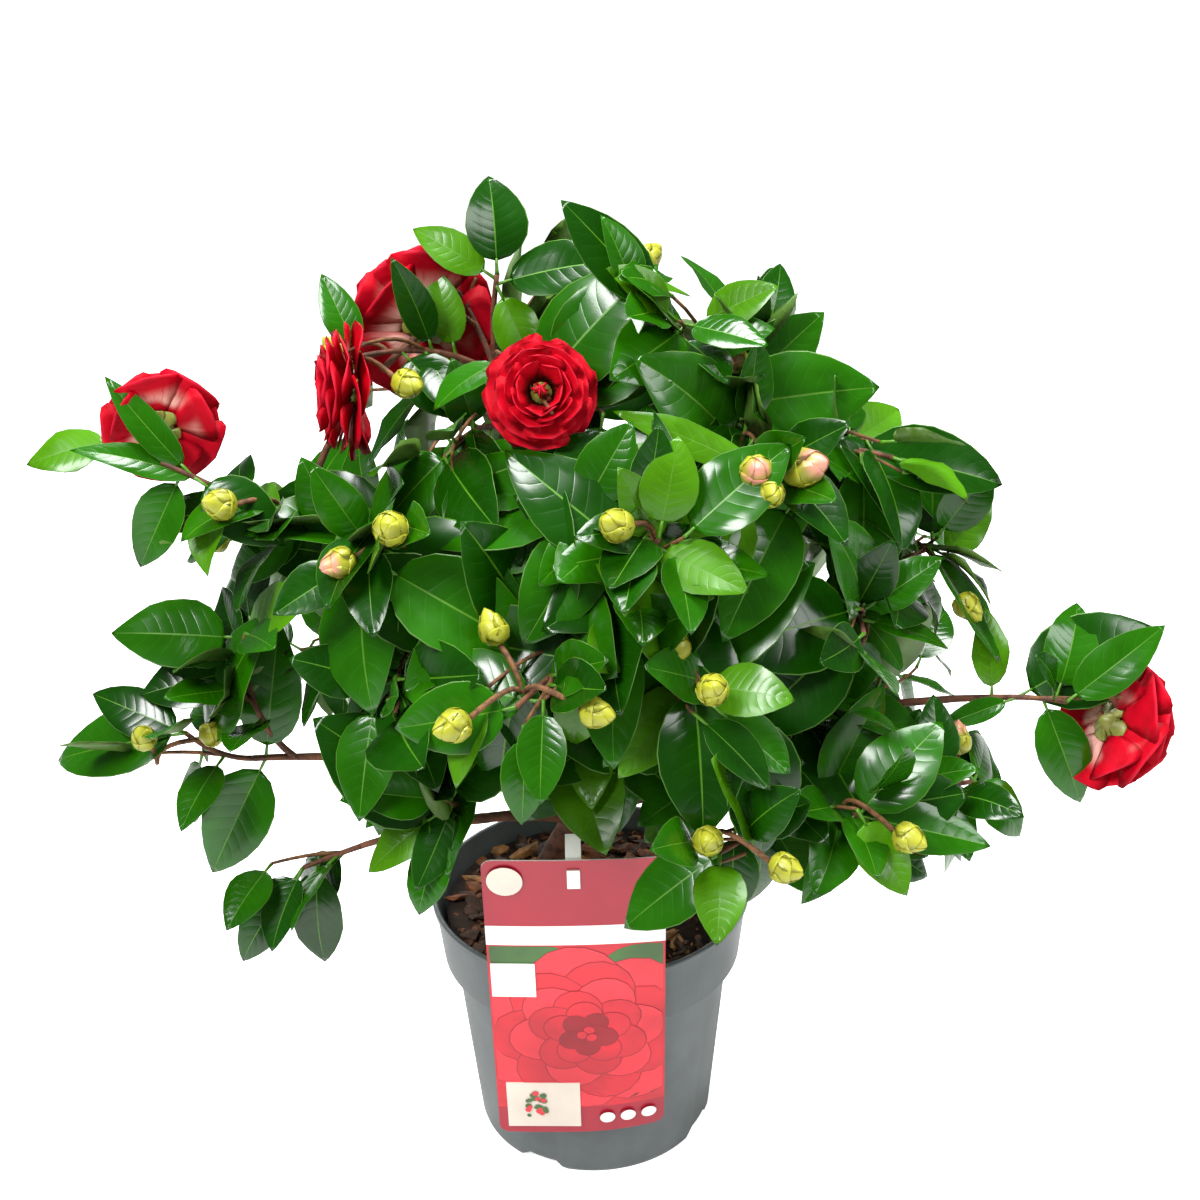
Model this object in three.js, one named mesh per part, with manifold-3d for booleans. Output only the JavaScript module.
// Potted camellia shrub: a nursery pot of bark compost with a label card, a short leaning trunk,
// tapering boughs, and the crown as separate uneven masses of foliage.
// Millimetres, +Z up. The origin is at the centre of the pot's flat underside; the label faces -Y.
import * as THREE from "three";
import { mergeVertices } from "three/addons/utils/BufferGeometryUtils.js";
import Module from "manifold-3d";

const wasm = await Module();
wasm.setup();

// Fit
const GAP = 0.3;
const SOCKET_GAP = 0.5;

// Pot
const POT_HEIGHT = 156.5;
const POT_RIM_RADIUS = 95;
const POT_BASE_RADIUS = 72;
const POT_BODY_TOP_RADIUS = 82.5;
const POT_WALL = 1.8;
const POT_FLOOR = 2.2;
const COLLAR_DEPTH = 40;
const COLLAR_STEP = 7;
const LIP_DEPTH = 4;
const LIP_PROUD = 1.4;
const POT_SEGMENTS = 30;
const FOOT_GAP_COUNT = 4;
const FOOT_GAP_FIRST_HEADING = 243;
const FOOT_GAP_WIDTH = 26;
const FOOT_GAP_HEIGHT = 5;
const FOOT_GAP_DEPTH = 9;

// Compost
const SOIL_BELOW_RIM = 13;
const SOIL_HEIGHT = POT_HEIGHT - SOIL_BELOW_RIM;
const SOIL_CROWN = 1.2;

// Label card and the strip it hangs on
const CARD_WIDTH = 96;
const CARD_LENGTH = 209;
const CARD_THICKNESS = 0.8;
const CARD_CORNER = 6;
const CARD_CENTRE_X = -7.5;
const CARD_LEAN = 9.4;
const CARD_FOOT_HEIGHT = 38;
const CARD_FOOT_FRONT = 80;
const STRIP_HOOK_REACH = 24;
const STRIP_WIDTH = 8;
const STRIP_THICKNESS = 1.2;
const STRIP_RISE = 10;
const STRIP_SET_BACK = 12;
const STRIP_FOOT_SET_BACK = 26;
const STRIP_STEPS = 12;
const STRIP_CLEARANCE = 2.5;

// Trunk
const TRUNK_FOOT = new THREE.Vector3(-28, 5, SOIL_HEIGHT + SOIL_CROWN + GAP);
const TRUNK_FORK = new THREE.Vector3(10, -2, 258);
const TRUNK_FOOT_RADIUS = 8.2;
const TRUNK_FORK_RADIUS = 5.2;
const ROOT_FLARE = 4.5;
const ROOT_FLARE_SPAN = 0.09;
const TRUNK_SIDES = 12;
const TRUNK_STEPS = 10;

// Boughs
const BOUGH_FOOT_RADIUS = 3.9;
const BOUGH_TIP_RADIUS = 1.7;
const BOUGH_SIDES = 6;
const BOUGH_STEPS = 5;
const BOUGH_LIFT = 0.13;
const BOUGH_BEND_AT = 0.4;
const BOUGH_SOCKET = 0.55;

// Crown: each tier is a ring of sprays, given as [name, heading, reach, rise] in degrees and mm,
// with heading 0 towards +X and 90 towards +Y, and rise added to the tier's height.
const MASS_DETAIL = 2;
const MASS_GAP = 1;
const UNEVENNESS = 0.13;
const TIERS = [
  {
    name: "skirt",
    height: 268,
    size: [50, 48, 28],
    sprays: [
      ["front_left", 236, 122, 4],
      ["front_right", 293, 158, 5],
      ["right_front", 319, 172, 2],
      ["right", 342, 210, -8],
      ["right_back", 17, 198, 6],
      ["back_right", 60, 182, 4],
      ["back_left", 106, 180, 0],
      ["left_back", 152, 190, 4],
    ],
  },
  {
    name: "waist",
    height: 345,
    size: [52, 54, 40],
    sprays: [
      ["right", 0, 182, 22],
      ["right_back", 35, 180, 10],
      ["back_right", 78, 160, 18],
      ["back_left", 125, 166, 12],
      ["left_back", 162, 176, 14],
      ["left", 196, 174, 0],
      ["left_front", 231, 140, -8],
      ["front_left", 259, 152, 10],
      ["front_right", 294, 142, -2],
      ["right_front", 331, 152, 6],
    ],
  },
  {
    name: "shoulder",
    height: 420,
    size: [51, 54, 38],
    sprays: [
      ["right", 352, 156, 4],
      ["right_front", 318, 112, 14],
      ["front", 288, 118, 0],
      ["left_front", 228, 128, -8],
      ["left", 196, 158, -12],
      ["left_back", 150, 138, 28],
      ["back", 95, 118, 24],
      ["right_back", 38, 138, 8],
    ],
  },
  {
    name: "top",
    height: 495,
    size: [44, 46, 38],
    sprays: [
      ["left", 185, 112, -18],
      ["left_back", 150, 66, 8],
      ["front", 262, 72, -22],
      ["right_front", 318, 52, 12],
      ["right", 5, 84, -14],
      ["back", 75, 66, 4],
    ],
  },
];

// Sprays that stand out beyond the rings: [name, heading, reach, height, along, across, thick].
const LONG_SPRAYS = [
  ["left_arm", 197.5, 238, 282, 54, 32, 33],
  ["left_low", 201, 176, 210, 44, 30, 42],
  ["left_bloom", 191, 226, 450, 40, 40, 46],
  ["crown_tip", 160, 44, 538, 29, 29, 27],
  ["right_arm", 350, 281, 300, 48, 42, 56],
];

// Boughs: [mass they lead to, how far up the trunk they leave it (0 to 1)].
const BOUGHS = [
  ["top_left_back", 1],
  ["top_right", 0.96],
  ["shoulder_left", 0.92],
  ["shoulder_front", 0.91],
  ["waist_right", 0.86],
  ["waist_back_right", 0.84],
  ["waist_left_back", 0.78],
  ["right_arm", 0.74],
  ["skirt_front_left", 0.7],
  ["skirt_back_right", 0.66],
  ["left_arm", 0.6],
  ["skirt_right_front", 0.56],
  ["left_low", 0.5],
  ["skirt_back_left", 0.46],
];

const SHADES = {
  pot: [0x646e73, 0.5],
  soil: [0x4a2f20, 0.95],
  card: [0xb4304a, 0.4],
  strip: [0xf2f2ee, 0.45],
  bark: [0x6b3f2a, 0.8],
  leaf: [0x2f6a1c, 0.35],
};

const shrub = new THREE.Group();

function radians(degrees) {
  return THREE.MathUtils.degToRad(degrees);
}

function atHeading(heading, reach, height) {
  const turn = radians(heading);
  return new THREE.Vector3(reach * Math.cos(turn), reach * Math.sin(turn), height);
}

function addPiece(name, geometry, shade) {
  const [color, roughness] = SHADES[shade];
  const material = new THREE.MeshStandardMaterial({ color, roughness, metalness: 0 });
  const mesh = new THREE.Mesh(geometry, material);
  mesh.name = name;
  shrub.add(mesh);
  return mesh;
}

// Keeps only positions and joins the corners that coincide.
function sealed(geometry) {
  const bare = geometry.clone();
  bare.deleteAttribute("normal");
  bare.deleteAttribute("uv");
  return mergeVertices(bare, 1e-4);
}

function toSolid(geometry) {
  const closed = sealed(geometry);
  const vertProperties = new Float32Array(closed.attributes.position.array);
  const corners = closed.index.array;
  const triVerts = [];
  for (let i = 0; i < corners.length; i += 3) {
    const [a, b, c] = [corners[i], corners[i + 1], corners[i + 2]];
    if (a !== b && b !== c && c !== a) {
      triVerts.push(a, b, c);
    }
  }
  return new wasm.Manifold(new wasm.Mesh({
    numProp: 3,
    vertProperties,
    triVerts: new Uint32Array(triVerts),
  }));
}

function toGeometry(solid) {
  const mesh = solid.getMesh();
  const geometry = new THREE.BufferGeometry();
  geometry.setAttribute("position", new THREE.BufferAttribute(mesh.vertProperties, 3));
  geometry.setIndex(new THREE.BufferAttribute(mesh.triVerts, 1));
  return geometry;
}

// A turned piece, with its axis stood up along Z.
function turned(profile) {
  return new THREE.LatheGeometry(profile, POT_SEGMENTS).rotateX(radians(90));
}

// Pot: one turned shell with a stepped collar and a lip, standing on feet between low gaps.
function makePot() {
  const collarHeight = POT_HEIGHT - COLLAR_DEPTH;
  const collarFoot = POT_BODY_TOP_RADIUS + COLLAR_STEP;
  const lipUnder = POT_RIM_RADIUS - LIP_PROUD;
  const profile = [
    [0, 0],
    [POT_BASE_RADIUS - 2, 0],
    [POT_BASE_RADIUS, 3],
    [POT_BODY_TOP_RADIUS, collarHeight - 3],
    [collarFoot, collarHeight],
    [lipUnder, POT_HEIGHT - LIP_DEPTH],
    [POT_RIM_RADIUS, POT_HEIGHT - LIP_DEPTH + 1],
    [POT_RIM_RADIUS, POT_HEIGHT],
    [lipUnder - POT_WALL, POT_HEIGHT],
    [collarFoot - POT_WALL, collarHeight + 1],
    [POT_BODY_TOP_RADIUS - POT_WALL, collarHeight - 2],
    [POT_BASE_RADIUS - POT_WALL - 1, POT_FLOOR],
    [0, POT_FLOOR],
  ].map(([radius, height]) => new THREE.Vector2(radius, height));
  let pot = toSolid(turned(profile));
  for (let i = 0; i < FOOT_GAP_COUNT; i++) {
    const heading = FOOT_GAP_FIRST_HEADING + (i * 360) / FOOT_GAP_COUNT;
    const gap = new THREE.BoxGeometry(FOOT_GAP_DEPTH, FOOT_GAP_WIDTH, FOOT_GAP_HEIGHT * 2);
    gap.rotateZ(radians(heading));
    const place = atHeading(heading, POT_BASE_RADIUS, 0);
    gap.translate(place.x, place.y, place.z);
    pot = pot.subtract(toSolid(gap));
  }
  addPiece("pot", toGeometry(pot), "pot");
}

// Compost: fills the pot to just under the rim, with a slightly domed top.
function makeSoil() {
  const collarHeight = POT_HEIGHT - COLLAR_DEPTH;
  const inside = POT_WALL + GAP;
  const innerBase = POT_BASE_RADIUS - inside;
  const innerBody = POT_BODY_TOP_RADIUS - inside;
  const innerCollar = POT_BODY_TOP_RADIUS + COLLAR_STEP - inside;
  const baseHeight = POT_FLOOR + GAP + FOOT_GAP_HEIGHT;
  const profile = [
    [0, baseHeight],
    [innerBase - 1, baseHeight],
    [innerBody, collarHeight - 2],
    [innerCollar, collarHeight + 2],
    [innerCollar + 0.8, SOIL_HEIGHT - 1],
    [innerCollar * 0.6, SOIL_HEIGHT + SOIL_CROWN],
    [0, SOIL_HEIGHT + SOIL_CROWN],
  ].map(([radius, height]) => new THREE.Vector2(radius, height));
  addPiece("compost", sealed(turned(profile)), "soil");
}

function roundedCard() {
  const halfWidth = CARD_WIDTH / 2;
  const inner = halfWidth - CARD_CORNER;
  const card = new THREE.Shape();
  card.moveTo(-inner, 0);
  card.lineTo(inner, 0);
  card.absarc(inner, CARD_CORNER, CARD_CORNER, -Math.PI / 2, 0);
  card.lineTo(halfWidth, CARD_LENGTH - CARD_CORNER);
  card.absarc(inner, CARD_LENGTH - CARD_CORNER, CARD_CORNER, 0, Math.PI / 2);
  card.lineTo(-inner, CARD_LENGTH);
  card.absarc(-inner, CARD_LENGTH - CARD_CORNER, CARD_CORNER, Math.PI / 2, Math.PI);
  card.lineTo(-halfWidth, CARD_CORNER);
  card.absarc(-inner, CARD_CORNER, CARD_CORNER, Math.PI, Math.PI * 1.5);
  return card;
}

// Label card: a rounded card leaning on the pot's lip.
function makeCard() {
  const geometry = new THREE.ExtrudeGeometry(roundedCard(), {
    depth: CARD_THICKNESS,
    bevelEnabled: false,
    curveSegments: 3,
  });
  geometry.rotateX(radians(90 + CARD_LEAN));
  geometry.translate(CARD_CENTRE_X, -CARD_FOOT_FRONT, CARD_FOOT_HEIGHT);
  addPiece("label_card", sealed(geometry), "card");
}

// Strip: stands in the compost, rises behind the card and hooks down over its back.
function makeStrip() {
  const slope = Math.tan(radians(CARD_LEAN));
  const behind = (height) => {
    return -CARD_FOOT_FRONT - (height - CARD_FOOT_HEIGHT) * slope + STRIP_CLEARANCE;
  };
  const cardTop = CARD_FOOT_HEIGHT + CARD_LENGTH * Math.cos(radians(CARD_LEAN));
  const hookEnd = cardTop - STRIP_HOOK_REACH;
  const footFront = behind(cardTop) + STRIP_SET_BACK + STRIP_FOOT_SET_BACK;
  const route = new THREE.CatmullRomCurve3([
    new THREE.Vector3(CARD_CENTRE_X, behind(hookEnd), hookEnd),
    new THREE.Vector3(CARD_CENTRE_X, behind(cardTop), cardTop),
    new THREE.Vector3(CARD_CENTRE_X, behind(cardTop) + STRIP_SET_BACK / 2, cardTop + STRIP_RISE),
    new THREE.Vector3(CARD_CENTRE_X, behind(cardTop) + STRIP_SET_BACK, cardTop - STRIP_RISE / 2),
    new THREE.Vector3(CARD_CENTRE_X, footFront, SOIL_HEIGHT + SOIL_CROWN + STRIP_THICKNESS),
  ]);
  const section = new THREE.Shape();
  const [halfThick, halfWide] = [STRIP_THICKNESS / 2, STRIP_WIDTH / 2];
  section.moveTo(-halfWide, -halfThick);
  section.lineTo(halfWide, -halfThick);
  section.lineTo(halfWide, halfThick);
  section.lineTo(-halfWide, halfThick);
  const geometry = new THREE.ExtrudeGeometry(section, {
    steps: STRIP_STEPS,
    extrudePath: route,
    bevelEnabled: false,
  });
  addPiece("label_strip", sealed(geometry), "strip");
}

// Limb: a cylinder bent along a curve, with its radius given by a function of the way along.
function bentLimb(curve, radiusAt, sides, steps) {
  const geometry = new THREE.CylinderGeometry(1, 1, 1, sides, steps);
  const frames = curve.computeFrenetFrames(steps);
  const points = curve.getSpacedPoints(steps);
  const position = geometry.attributes.position;
  for (let i = 0; i < position.count; i++) {
    const along = position.getY(i) + 0.5;
    const ring = Math.round(along * steps);
    const radius = radiusAt(along);
    const place = points[ring].clone();
    place.addScaledVector(frames.normals[ring], position.getX(i) * radius);
    place.addScaledVector(frames.binormals[ring], -position.getZ(i) * radius);
    position.setXYZ(i, place.x, place.y, place.z);
  }
  return sealed(geometry);
}

const trunkCurve = new THREE.CubicBezierCurve3(
  TRUNK_FOOT,
  new THREE.Vector3(TRUNK_FOOT.x, TRUNK_FOOT.y, TRUNK_FOOT.z + 48),
  new THREE.Vector3(TRUNK_FORK.x, TRUNK_FORK.y, TRUNK_FORK.z - 52),
  TRUNK_FORK,
);

function trunkRadius(along) {
  const taper = THREE.MathUtils.lerp(TRUNK_FOOT_RADIUS, TRUNK_FORK_RADIUS, along);
  return taper + ROOT_FLARE * Math.exp(-along / ROOT_FLARE_SPAN);
}

function boughRadius(along) {
  return THREE.MathUtils.lerp(BOUGH_FOOT_RADIUS, BOUGH_TIP_RADIUS, along);
}

// A bough leaves the side of the trunk that faces its mass and bends over towards the mass's heart.
function boughCurve(mass, trunkShare) {
  const axis = trunkCurve.getPointAt(trunkShare);
  const grain = trunkCurve.getTangentAt(trunkShare);
  const facing = mass.centre.clone().sub(axis).projectOnPlane(grain).normalize();
  const start = axis.clone().addScaledVector(facing, trunkRadius(trunkShare) * BOUGH_SOCKET);
  const span = start.distanceTo(mass.centre);
  const bend = start.clone().lerp(mass.centre, BOUGH_BEND_AT);
  bend.z += span * BOUGH_LIFT;
  return new THREE.QuadraticBezierCurve3(start, bend, mass.centre);
}

function makeMassPlan(name, heading, reach, height, size) {
  const centre = atHeading(heading, reach, height);
  const outward = atHeading(heading, 1, 0);
  const sideways = atHeading(heading + 90, 1, 0);
  return { name, centre, outward, sideways, size, phase: heading * 0.37 + height * 0.11 };
}

function plannedMasses() {
  const plans = [];
  for (const tier of TIERS) {
    for (const [name, heading, reach, rise] of tier.sprays) {
      plans.push(makeMassPlan(`${tier.name}_${name}`, heading, reach, tier.height + rise, tier.size));
    }
  }
  for (const [name, heading, reach, height, along, across, thick] of LONG_SPRAYS) {
    plans.push(makeMassPlan(name, heading, reach, height, [along, across, thick]));
  }
  return plans;
}

// Distance from a mass's centre to its lumpy surface in one direction.
function lumpyRadius(mass, way) {
  const along = way.dot(mass.outward) / mass.size[0];
  const across = way.dot(mass.sideways) / mass.size[1];
  const upright = way.z / mass.size[2];
  const smooth = 1 / Math.hypot(along, across, upright);
  const lumps = Math.sin(3.1 * way.x + mass.phase) * Math.sin(2.7 * way.y + 1.9 * mass.phase)
    + Math.sin(4.3 * way.z + 2.3 * mass.phase) * Math.cos(3.7 * way.x - mass.phase);
  return smooth * (1 + UNEVENNESS * lumps);
}

// The lumpy surface, held back from each neighbour by a plane between the two.
function massRadius(mass, way, masses) {
  let radius = lumpyRadius(mass, way);
  for (const other of masses) {
    if (other === mass) {
      continue;
    }
    const between = other.centre.clone().sub(mass.centre);
    const distance = between.length();
    between.normalize();
    const facing = way.dot(between);
    if (facing < 1e-3) {
      continue;
    }
    const mine = lumpyRadius(mass, between);
    const theirs = lumpyRadius(other, between.clone().negate());
    const limit = distance * (mine / (mine + theirs)) - MASS_GAP / 2;
    radius = Math.min(radius, limit / facing);
  }
  return radius;
}

function massGeometry(mass, masses, grow) {
  const geometry = new THREE.IcosahedronGeometry(1, MASS_DETAIL);
  const position = geometry.attributes.position;
  const way = new THREE.Vector3();
  for (let i = 0; i < position.count; i++) {
    way.fromBufferAttribute(position, i).normalize();
    const radius = massRadius(mass, way, masses) + grow;
    const place = mass.centre.clone().addScaledVector(way, radius);
    position.setXYZ(i, place.x, place.y, place.z);
  }
  return sealed(geometry);
}

function makePlant() {
  const masses = plannedMasses();
  const trunk = bentLimb(trunkCurve, trunkRadius, TRUNK_SIDES, TRUNK_STEPS);
  addPiece("trunk", trunk, "bark");
  const grownTrunk = bentLimb(trunkCurve, (s) => trunkRadius(s) + GAP, TRUNK_SIDES, TRUNK_STEPS);
  const placed = [toSolid(grownTrunk)];
  for (const [leadsTo, trunkShare] of BOUGHS) {
    const mass = masses.find((one) => one.name === leadsTo);
    const curve = boughCurve(mass, trunkShare);
    let bough = toSolid(bentLimb(curve, boughRadius, BOUGH_SIDES, BOUGH_STEPS));
    for (const other of placed) {
      bough = bough.subtract(other);
    }
    bough = bough.subtract(toSolid(massGeometry(mass, masses, SOCKET_GAP)));
    addPiece(`bough_to_${leadsTo}`, toGeometry(bough), "bark");
    const clearance = (s) => boughRadius(s) + GAP;
    placed.push(toSolid(bentLimb(curve, clearance, BOUGH_SIDES, BOUGH_STEPS)));
    mass.ownBough = placed.length - 1;
  }
  for (const mass of masses) {
    let solid = toSolid(massGeometry(mass, masses, 0));
    placed.forEach((limb, i) => {
      if (i !== mass.ownBough) {
        solid = solid.subtract(limb);
      }
    });
    addPiece(`foliage_${mass.name}`, toGeometry(solid), "leaf");
  }
}

makePot();
makeSoil();
makeCard();
makeStrip();
makePlant();

export default shrub;
